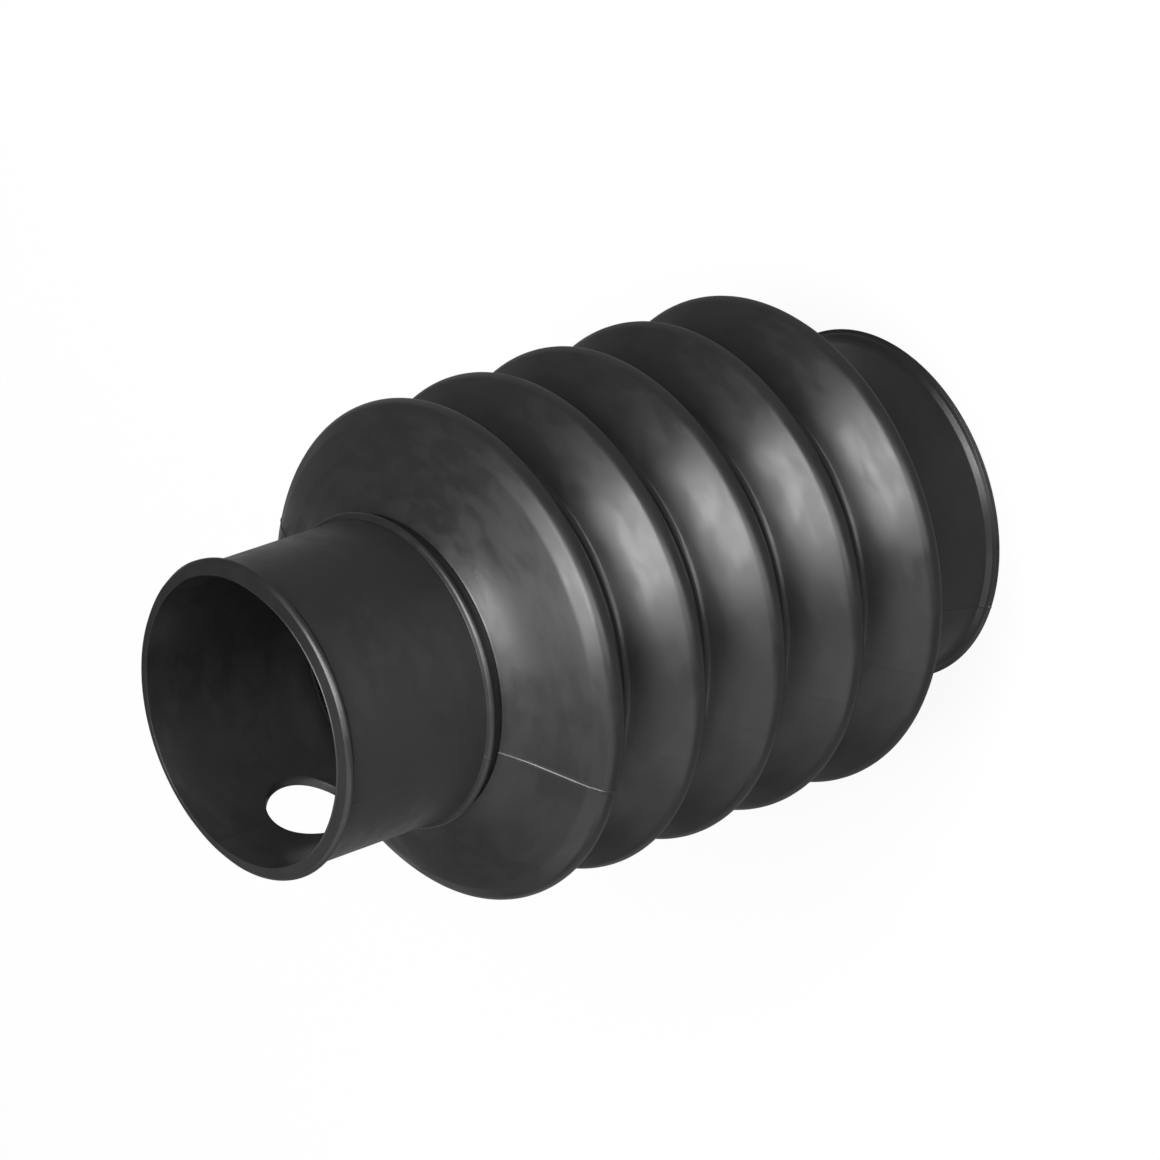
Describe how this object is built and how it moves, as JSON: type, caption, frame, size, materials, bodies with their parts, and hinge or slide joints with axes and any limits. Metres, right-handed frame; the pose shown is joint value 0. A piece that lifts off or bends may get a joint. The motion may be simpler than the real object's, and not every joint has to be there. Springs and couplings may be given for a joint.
{
  "type": "rubber bellows boot",
  "caption": "Moulded rubber bellows boot: round folds between a small and a large lipped collar, with a round hole in the side of the small collar, to cover a shaft or coupling.",
  "frame": {"origin": "centre of the bottom face of the large collar's lip", "axes": "+Z along the axis from the large collar up to the mouth of the small collar; the side hole faces -X and the mould's parting plane is YZ"},
  "size_m": [0.11, 0.1106, 0.1805],
  "materials": {
    "boot_rubber": "satin moulded black rubber with faint mottling and flow marks"
  },
  "bodies": {
    "root": {"bellows_boot": "boot_rubber"}
  },
  "joints": []
}
